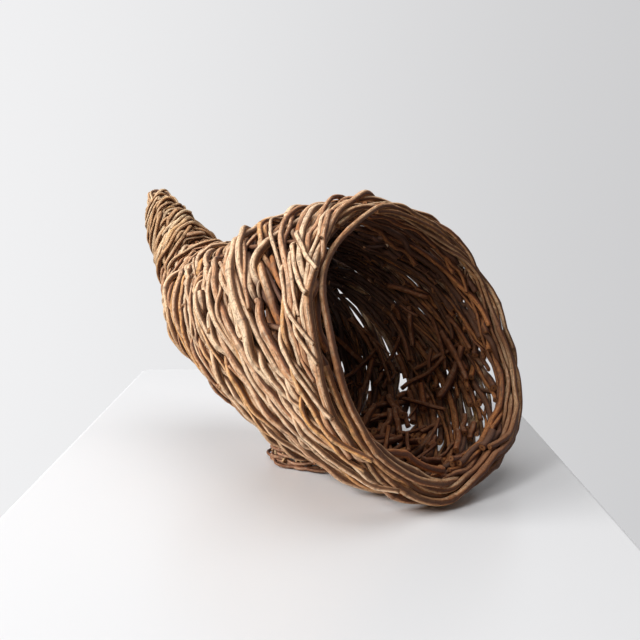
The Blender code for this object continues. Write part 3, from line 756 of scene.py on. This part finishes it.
# The cut ends
# The inside bristles with short ends of vine that were cut off after weaving, most of them at the
# bottom and on the right. Outside, a few ends stray over the near edge of the mouth, and stubs of
# side shoots stand out from the vines.

TWIG_COUNT = 130
TWIG_POINTS = 18
TWIG_RADIUS, TWIG_RADIUS_SPREAD = 0.0030, (0.6, 1.4)
TWIG_LENGTHS = (0.02, 0.10)
TWIG_SLOPE = 0.55
TWIG_SHARES = (0.04, 0.40)
TWIG_ANGLE, TWIG_ANGLE_SPREAD = 0.9 * np.pi, 0.20 * np.pi
TWIG_DEPTH, TWIG_RISES = 0.009, (-0.002, 0.018)
TWIG_KNOT_PITCH = 0.07

twig_bark = bark(
    "twig_bark", (0.50, 0.21, 0.08), (0.20, 0.07, 0.025), (0.60, 0.20, 0.045),
    (0.17, 0.042, 0.010), (0.66, 0.24, 0.07),
)
draw = np.random.default_rng(21)
s = np.linspace(0, 1, TWIG_POINTS)[None]
long = draw.uniform(*TWIG_LENGTHS, (TWIG_COUNT, 1))
heading = draw.normal(0, TWIG_SLOPE, (TWIG_COUNT, 1))
heading = heading + np.where(draw.random((TWIG_COUNT, 1)) < 0.5, 0, np.pi)
share = draw.uniform(*TWIG_SHARES, (TWIG_COUNT, 1))
angle = draw.normal(TWIG_ANGLE, TWIG_ANGLE_SPREAD, (TWIG_COUNT, 1))
around = girth(share[:, 0])[:, None] / TURN
angle = angle + long * np.cos(heading) * s / around
share = share + long * np.sin(heading) * s / wall_step(share, angle)
share = np.clip(share, WEAVE_START_SHARE, 1)
level = -TWIG_DEPTH - draw.uniform(*TWIG_RISES, (TWIG_COUNT, 1)) * s
twig_out = outwards(share, angle)
twig_home = on_wall(share, angle) + level[..., None] * twig_out
twig_radius = TWIG_RADIUS * draw.uniform(*TWIG_RADIUS_SPREAD, (TWIG_COUNT, 1)) * (1 + 0 * s)
twig_path = settle(twig_home, twig_radius, level, twig_out, weave, ribs, rim)
twig_looks = plain_looks(draw, twig_path, TWIG_KNOT_PITCH, 0)
twigs = twig_path, twig_radius, twig_out, twig_looks
make("cut_ends", twigs, 65, twig_bark, "weaver_bark")

STRAY_COUNT = 11
STRAY_POINTS = 30
STRAY_RADIUS, STRAY_RADIUS_SPREAD = 0.0031, (0.75, 1.15)
STRAY_THICK_END, STRAY_TAPER = 1.05, 0.25
STRAY_LENGTH_SHARES, STRAY_REACH_SHARE = (0.6, 1.2), 0.13
STRAY_END_SHARES = (-0.03, 0.02)
STRAY_FIRST, STRAY_ROOM, STRAY_TURN = 0.14, 0.52, 0.13 * np.pi
STRAY_LEVEL, STRAY_TUCK = 0.012, 0.014
STRAY_KNOT_PITCH = 0.03
LIT_DEPTH = 0.009

s = np.linspace(0, 1, STRAY_POINTS)[None]
long = draw.uniform(*STRAY_LENGTH_SHARES, (STRAY_COUNT, 1))
number = np.arange(STRAY_COUNT)[:, None] + draw.uniform(0, 1, (STRAY_COUNT, 1))
angle = -np.pi * (STRAY_FIRST + STRAY_ROOM * number / STRAY_COUNT)
angle = angle - STRAY_TURN * (long * s + 0.2 * np.sin(3 * s + 6 * long))
share = STRAY_REACH_SHARE * long * (1 - s) - draw.uniform(*STRAY_END_SHARES, (STRAY_COUNT, 1))
level = STRAY_LEVEL - STRAY_TUCK * (1 - s) ** 6 + bulges(share, angle)
stray_out = outwards(share, angle)
forward = unit(on_wall(0, angle) - on_wall(0.01, angle))
beyond = forward * np.maximum(0, -share * wall_step(0.01, angle))[..., None]
stray_home = on_wall(share, angle) + level[..., None] * stray_out + beyond
stray_radius = STRAY_RADIUS * draw.uniform(*STRAY_RADIUS_SPREAD, (STRAY_COUNT, 1))
stray_radius = stray_radius * (STRAY_THICK_END - STRAY_TAPER * s)
stray_path = settle(stray_home, stray_radius, level, stray_out, weave, ribs, rim)
stray_looks = plain_looks(draw, stray_path, STRAY_KNOT_PITCH, LIT_DEPTH)
strays = stray_path, stray_radius, stray_out, stray_looks
make("stray_ends", strays, 67, weave_bark, "weaver_bark")

SPUR_COUNT = 70
SPUR_POINTS, SPUR_SIDES = 6, 8
SPUR_RADIUS, SPUR_RADIUS_SPREAD = 0.0021, (0.6, 1.2)
SPUR_THICK_END, SPUR_TAPER = 1.25, 0.35
SPUR_SLANTS, SPUR_HEIGHTS = (0.3, 1.4), (0.002, 0.009)
SPUR_GROUND = 0.02
END_POINTS = 8

inner_points = END_POINTS, WEAVE_POINTS - END_POINTS
chosen = draw.integers(0, len(weave_path), SPUR_COUNT), draw.integers(*inner_points, SPUR_COUNT)
base, outer = weave_path[chosen], weave_out[chosen]
forward = unit(np.gradient(weave_path, axis=1))[chosen] * draw.choice((-1, 1), (SPUR_COUNT, 1))
heading = outer + draw.uniform(*SPUR_SLANTS, (SPUR_COUNT, 1)) * forward
heading = unit(heading + draw.normal(0, 0.3, (SPUR_COUNT, 3)))
reach = weave_radius[chosen] + draw.uniform(*SPUR_HEIGHTS, SPUR_COUNT)
s = np.linspace(0, 1, SPUR_POINTS)
spur_path = base[:, None] + (reach[:, None] * s)[..., None] * heading[:, None]
spur_radius = SPUR_RADIUS * draw.uniform(*SPUR_RADIUS_SPREAD, (SPUR_COUNT, 1))
spur_radius = spur_radius * (SPUR_THICK_END - SPUR_TAPER * s)
spur_out = unit(np.cross(heading, forward))[:, None] + 0 * spur_path
shown = spur_path[:, -1, 2] > SPUR_GROUND
spur_looks = bark_looks(draw, LIT_DEPTH + 0 * spur_radius, 0 * spur_radius)
spurs = spur_path, spur_radius, spur_out, spur_looks
make("spurs", spurs, 66, weave_bark, "weaver_bark", some=shown, sides=SPUR_SIDES)


# The tail binding
# Thinner vines wound closely round the ribs, from where they are too near each other to weave, and
# a few bent over the tip, which is rounded and nearly closed.

TAIL_VINES = 46
TAIL_POINTS = 110
TAIL_START_SHARE, TAIL_END_SHARE, TURN_BACK_SHARE = 0.74, 0.95, 0.98
TAIL_RADIUS, TAIL_TIP_RADIUS = 0.0031, 0.0022
TAIL_DEPTH, TAIL_TIP_DEPTH = 0.0024, 0.0004
TAIL_TURNS, TAIL_SCATTER, TAIL_LAYER = (0.8, 1.5), 0.002, 0.003
TAIL_RADIUS_SPREAD, TAIL_KNOT_PITCH = (0.85, 1.2), (0.05, 0.09)
TAIL_THICK_END, TAIL_TAPER = 1.05, 0.2
TAIL_WEAVE_BAND, TAIL_OVERLAP_SHARE = 14, 0.03
TAIL_LOOK_DEPTH = 0.007
ARCH_VINES = 4
ARCH_SHARE, ARCH_RADIUS, ARCH_TWIST = 0.11, 0.0023, 0.8
ARCH_LEVEL, ARCH_FALL, ARCH_RISE = 0.003, 0.004, 0.0045
ARCH_SMOOTHING, ARCH_OUT_SMOOTHING = 60, 40

binding_bark = bark(
    "binding_bark", (0.98, 0.72, 0.44), (0.70, 0.39, 0.18), (0.86, 0.48, 0.18),
    (0.20, 0.08, 0.03), (0.42, 0.22, 0.10),
)
draw = np.random.default_rng(9)
place = (np.arange(TAIL_VINES) + draw.uniform(0, 1, TAIL_VINES)) / TAIL_VINES
middle = TAIL_START_SHARE + (TAIL_END_SHARE - TAIL_START_SHARE) * place
long = draw.uniform(*TAIL_TURNS, TAIL_VINES) * girth(middle)
centre = draw.uniform(0, TURN, TAIL_VINES)
share, angle, level, run, knot = lay_vines(draw, middle, centre, long, TAIL_POINTS, 0, TAIL_SCATTER)
share = TURN_BACK_SHARE - np.abs(TURN_BACK_SHARE - share)
share = np.maximum(share, TAIL_START_SHARE - TAIL_OVERLAP_SHARE)
depth = TAIL_DEPTH + (TAIL_TIP_DEPTH - TAIL_DEPTH) * place**2
second_layer = draw.choice((0, TAIL_LAYER), (TAIL_VINES, 1))
level = level + depth[:, None] + second_layer * (1 - place[:, None]) - closing(share)
thick = TAIL_RADIUS + (TAIL_TIP_RADIUS - TAIL_RADIUS) * place
binding_radius = thick[:, None] * draw.uniform(*TAIL_RADIUS_SPREAD, (TAIL_VINES, 1))
binding_radius = binding_radius * (TAIL_THICK_END - TAIL_TAPER * run / long[:, None])
binding_out = outwards(share, angle)
binding_home = on_wall(share, angle) + level[..., None] * binding_out

u = np.linspace(-1, 1, TAIL_POINTS)[None]
arch_angle = draw.uniform(0, np.pi, (ARCH_VINES, 1)) + np.where(u < 0, 0, np.pi) + ARCH_TWIST * u
arch_share = 1 - ARCH_SHARE * np.abs(u) + 0 * arch_angle
arch_out = outwards(arch_share, arch_angle)
arch_level = ARCH_LEVEL - ARCH_FALL * np.abs(u) ** 1.5 - closing(arch_share)
arch_home = on_wall(arch_share, arch_angle) + arch_level[..., None] * arch_out
beyond = unit(on_wall(1, 0) + on_wall(1, np.pi) - on_wall(0.97, 0) - on_wall(0.97, np.pi))
arch_home = arch_home + (ARCH_RISE * np.clip(1 - 4 * np.abs(u), 0, 1))[..., None] * beyond
arch_home = smooth(arch_home, ARCH_SMOOTHING)
arch_out = unit(smooth(arch_out, ARCH_OUT_SMOOTHING) + 0.5 * beyond)

home = np.concatenate([binding_home, arch_home])
out = np.concatenate([binding_out, arch_out])
radius = np.concatenate([binding_radius, np.full((ARCH_VINES, TAIL_POINTS), ARCH_RADIUS)])
level = np.concatenate([level, arch_level])
near = [part[band > TAIL_WEAVE_BAND] for part in weave]
path = settle(home, radius, level, out, ribs, near)
looks = plain_looks(draw, path, draw.uniform(*TAIL_KNOT_PITCH, len(path)), TAIL_LOOK_DEPTH)
binding = path, radius, out, looks
make("tail_vines", binding, 70, binding_bark, "binding_bark", "tail_binding")


# The foot
# A low ring under the belly, on which the basket stands. Thin vines are stacked up to the belly, in
# and out of thin upright stakes, and only the lowest go all the way round.

FOOT_CENTRE = np.array((0.0640, -0.0012))
FOOT_RADIUS = 0.0605
FOOT_LEVELS = 8
FOOT_POINTS = 160
FOOT_VINE_RADIUS, FOOT_RADIUS_SPREAD = 0.0024, (0.85, 1.1)
FOOT_STEP, GROUND_FOOT_RADII = 0.0046, 1.42
FULL_LEVELS, FULL_HALF_TURNS, UPPER_SHARE = 2, 1.04, 0.97
SECOND_RING_RADII = 2.2
FOOT_WAVE, FOOT_RIPPLE = 0.0012, 0.0008
FOOT_KNOT_PITCH, FOOT_LOOK_DEPTH = (0.05, 0.08), 0.003
BELLY_ROOM, BELLY_REACH, BELLY_SMOOTHING = 0.09, 0.006, 6
STAKE_COUNT = 15
STAKE_POINTS, STAKE_SIDES = 24, 8
STAKE_RADIUS = 0.0016
STAKE_SWAY, STAKE_SCATTER, STAKE_TUCK = 0.0036, 0.25, 0.004
THIN_LOOK_DEPTH = 0.006


def ring_place(turn, beyond):
    """Places on the ground round the foot's centre, at distances beyond its radius."""
    return FOOT_CENTRE + (FOOT_RADIUS + beyond)[..., None] * np.stack([np.cos(turn), np.sin(turn)], axis=-1)


def belly_over(turn):
    """Height of the lowest woven vine above places round the ring."""
    low = weave_path[..., 2] < BELLY_ROOM
    vines, size = weave_path[low], weave_radius[low]
    away = np.linalg.norm(ring_place(turn, 0 * turn)[:, None] - vines[:, :2], axis=-1)
    return np.where(away < BELLY_REACH, vines[:, 2] - size, BELLY_ROOM).min(axis=1)


foot_bark = bark(
    "foot_bark", (0.52, 0.27, 0.15), (0.25, 0.10, 0.045), (0.46, 0.17, 0.06),
    (0.20, 0.07, 0.025), (0.42, 0.19, 0.08),
)
draw = np.random.default_rng(31)
grid = np.linspace(0, TURN, 181)
belly = smooth(belly_over(grid)[None, :, None], BELLY_SMOOTHING)[0, :, 0]
foot_level = np.arange(FOOT_LEVELS)[:, None]
height = GROUND_FOOT_RADII * FOOT_VINE_RADIUS + FOOT_STEP * np.maximum(0, foot_level - 1)
room = np.array([(belly > h + FOOT_VINE_RADIUS).mean() for h in height[:, 0]])[:, None]
half_turns = np.where(foot_level < FULL_LEVELS, FULL_HALF_TURNS, room * UPPER_SHARE)
turn = np.pi + half_turns * np.pi * np.linspace(-1, 1, FOOT_POINTS)
sway = STAKE_SWAY * np.cos(STAKE_COUNT / 2 * turn + foot_level * np.pi)
place = ring_place(turn, sway + np.where(foot_level == 1, SECOND_RING_RADII, 0) * FOOT_VINE_RADIUS)
rise = height + FOOT_WAVE * np.sin(3 * turn + 2 * foot_level) * (foot_level > 1) + 0 * turn
rise += FOOT_RIPPLE * np.sin(8 * turn + 5 * foot_level) * (foot_level > 1)
foot_path = np.concatenate([place, rise[..., None]], axis=-1)
foot_out = np.stack([np.cos(turn), np.sin(turn), 0 * turn], axis=-1)
foot_radius = FOOT_VINE_RADIUS * draw.uniform(*FOOT_RADIUS_SPREAD, (FOOT_LEVELS, 1)) + 0 * turn
foot_looks = plain_looks(draw, foot_path, draw.uniform(*FOOT_KNOT_PITCH, FOOT_LEVELS), FOOT_LOOK_DEPTH)
foot = foot_path, foot_radius, foot_out, foot_looks
for name, some in (("lower", slice(0, 4)), ("middle", slice(4, 6)), ("upper", slice(6, 8))):
    make(f"foot_{name}", foot, 80, foot_bark, "foot_bark", f"foot_vine_{name}", some=some)

lashing_bark = bark(
    "lashing_bark", (0.90, 0.62, 0.34), (0.55, 0.32, 0.16), (0.70, 0.38, 0.15),
    (0.24, 0.11, 0.05), (0.46, 0.26, 0.12),
)
number = np.arange(STAKE_COUNT)[:, None]
stake_turn = (number + STAKE_SCATTER * draw.normal(0, 1, (STAKE_COUNT, 1))) / STAKE_COUNT * TURN
top = np.interp(stake_turn, grid, belly) + STAKE_TUCK
rise = STAKE_RADIUS + (top - STAKE_RADIUS) * np.linspace(0, 1, STAKE_POINTS)
sway = -STAKE_SWAY * np.cos(np.pi * ((rise - FOOT_VINE_RADIUS) / FOOT_STEP + 1 + number))
stake_turn = stake_turn + 0 * rise
stake_path = np.concatenate([ring_place(stake_turn, sway), rise[..., None]], axis=-1)
stake_out = np.stack([np.cos(stake_turn), np.sin(stake_turn), 0 * rise], axis=-1)
stake_looks = bark_looks(draw, THIN_LOOK_DEPTH + 0 * rise, 0 * rise)
stakes = stake_path, STAKE_RADIUS + 0 * rise, stake_out, stake_looks
make("foot_stakes", stakes, 83, lashing_bark, "lashing_bark", sides=STAKE_SIDES)


# The foot's lashings
# Thin pale vines that tie the foot ring to the lowest ribs, each wound twice round the room that its
# solid fills, on a rounded square that goes from one side to the other.

LASHING_POINTS, LASHING_SIDES = 90, 8
LASHING_RADIUS = 0.0013
LASHING_TURNS = 2.15
LASHING_SWAY, LASHING_DRIFT, LASHING_SQUARENESS = 0.4, 0.5, (1, 0.7, 0.7)

for i in range(4):
    low, high = (np.array(corner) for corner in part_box(f"foot_lashing_{i + 1}"))
    centre, half = (low + high) / 2, (high - low) / 2 - LASHING_RADIUS
    wound = np.linspace(0, LASHING_TURNS, LASHING_POINTS)
    across, up = np.cos(wound * TURN), np.sin(wound * TURN)
    round_it = np.stack([LASHING_SWAY * up + LASHING_DRIFT * (wound - 1), across, up], axis=-1)
    square = np.sign(round_it) * np.abs(round_it) ** np.array(LASHING_SQUARENESS)
    level = np.zeros((1, LASHING_POINTS))
    looks = bark_looks(draw, level + THIN_LOOK_DEPTH, level)
    path, out = (centre + half * square)[None], unit(round_it * (0, 1, 1))[None]
    vines = path, level + LASHING_RADIUS, out, looks
    name, solid = f"lashing_{i + 1}", f"foot_lashing_{i + 1}"
    make(name, vines, 90 + i, lashing_bark, "lashing_bark", solid, sides=LASHING_SIDES)


# The studio
# A narrow white table with rounded corners stands in front of a pale grey wall. A large window to
# the left lights the basket, with a smaller one behind the photographer and light from the ceiling.

VIEW_TURN = np.radians(44.1)
TABLE_FRONT, TABLE_BACK = 0.25, 1.63
TABLE_LEFT, TABLE_RIGHT = -0.325, 0.298
TABLE_CORNERS = (
    (TABLE_RIGHT, TABLE_BACK), (TABLE_LEFT, TABLE_BACK),
    (TABLE_LEFT, TABLE_FRONT), (TABLE_RIGHT, TABLE_FRONT),
)
TABLE_ROUNDING = 0.02
TABLE_EDGE = ((0.004, 0), (0.0012, -0.0008), (0, -0.0035), (0, -0.025), (0.004, -0.028))
CAMERA_PLACE = np.array((0.8141, -0.781, 0.330))
LIT_HEIGHT = 0.15
ROOM_LIGHT = 0.065
# The wall behind is painted lighter at the left, where the window's light falls, and darker to the right:
# painted light and shade.
WALL_LIT_LEFT, WALL_SHADED_RIGHT = (0.90, 0.90, 0.91, 1), (0.60, 0.60, 0.61, 1)

forward = np.array((-np.sin(VIEW_TURN), np.cos(VIEW_TURN), 0))
right = np.array((np.cos(VIEW_TURN), np.sin(VIEW_TURN), 0))
below_camera = CAMERA_PLACE * (1, 1, 0)
bend = np.linspace(0, np.pi / 2, 9)
rings = []
for inset, drop in TABLE_EDGE:
    for corner, (x, y) in enumerate(TABLE_CORNERS):
        inwards = TABLE_ROUNDING * np.array((-1 if x > 0 else 1, -1 if y > 1 else 1))
        turn = bend + corner * np.pi / 2
        arc = np.stack([np.cos(turn), np.sin(turn)], axis=-1) * (TABLE_ROUNDING - inset)
        flat = np.array((x, y)) + inwards + arc
        rings.append(below_camera + flat[:, :1] * right + flat[:, 1:] * forward + np.array((0, 0, drop)))
corners = np.concatenate(rings)
index = np.arange(len(corners)).reshape(len(TABLE_EDGE), -1)
sides = np.stack([index[1:], np.roll(index[1:], -1, 1), np.roll(index[:-1], -1, 1), index[:-1]], axis=-1)
faces = sides.reshape(-1, 4).tolist() + [index[0].tolist(), index[-1, ::-1].tolist()]
mesh = bpy.data.meshes.new("table")
mesh.from_pydata(corners.tolist(), [], faces)
table = placed("table", mesh)
white = bpy.data.materials.new("white_lacquer")
white.use_nodes = True
shader = white.node_tree.nodes["Principled BSDF"]
shader.inputs["Base Color"].default_value = (0.79, 0.79, 0.80, 1)
shader.inputs["Roughness"].default_value = 0.3
table.data.materials.append(white)


def window(name, aside, onward, height, size, power):
    """A square lamp to the right, further on and up, that faces the middle of the basket."""
    lamp = bpy.data.lights.new(name, "AREA")
    lamp.size, lamp.energy = size, power
    holder = placed(name, lamp)
    place = aside * right + onward * forward + np.array((0, 0, height))
    holder.location = place
    x, y, z = np.array((0, 0, LIT_HEIGHT)) - place
    holder.rotation_euler = (np.arctan2(np.hypot(x, y), -z), 0, np.arctan2(-x, y))


window("left_window", -3.0, -0.8, 2.0, 1.3, 106)
window("front_window", -2.2, -2.0, 2.2, 0.9, 48)
window("ceiling", 0.1, 0.3, 2.3, 2.2, 30)

world = bpy.data.worlds.new("room")
bpy.context.scene.world = world
world.use_nodes = True
tree = world.node_tree
light = tree.nodes["Background"]
light.inputs["Color"].default_value = (1, 1, 1, 1)
light.inputs["Strength"].default_value = ROOM_LIGHT
seen = Signal(tree).node("LightPath", {}, {}, "Is Camera Ray")
seen = seen + seen.other("Is Glossy Ray") + seen.other("Is Transmission Ray")
way = seen.node("TexCoord", {}, {}, "Generated")
aside = way.node("VectorMath", {"operation": "DOT_PRODUCT"}, {0: way, 1: tuple(right)}, "Value")
# The wall seen behind the basket fades from the lit left to the shaded right: painted light and shade.
wall = aside.between(-0.5, 0.5).blend(WALL_LIT_LEFT, WALL_SHADED_RIGHT)
wall = wall.node("Background", {}, {"Color": wall})
both = wall.node("MixShader", {}, {0: seen, 1: Signal(tree, light.outputs[0]), 2: wall})
tree.links.new(both.socket, tree.nodes["World Output"].inputs["Surface"])


# The camera
# It stands where the photographer stood, a metre away and a little above the basket.

CAMERA_TILT = np.arctan(132 / 900)
LENS, FILM = 50.6, 36

camera = placed("camera", bpy.data.cameras.new("camera"))
camera.data.lens, camera.data.sensor_width = LENS, FILM
camera.location = CAMERA_PLACE
camera.rotation_euler = (np.pi / 2 - CAMERA_TILT, 0, VIEW_TURN)
bpy.context.scene.camera = camera
bpy.context.scene.view_settings.view_transform = "Standard"
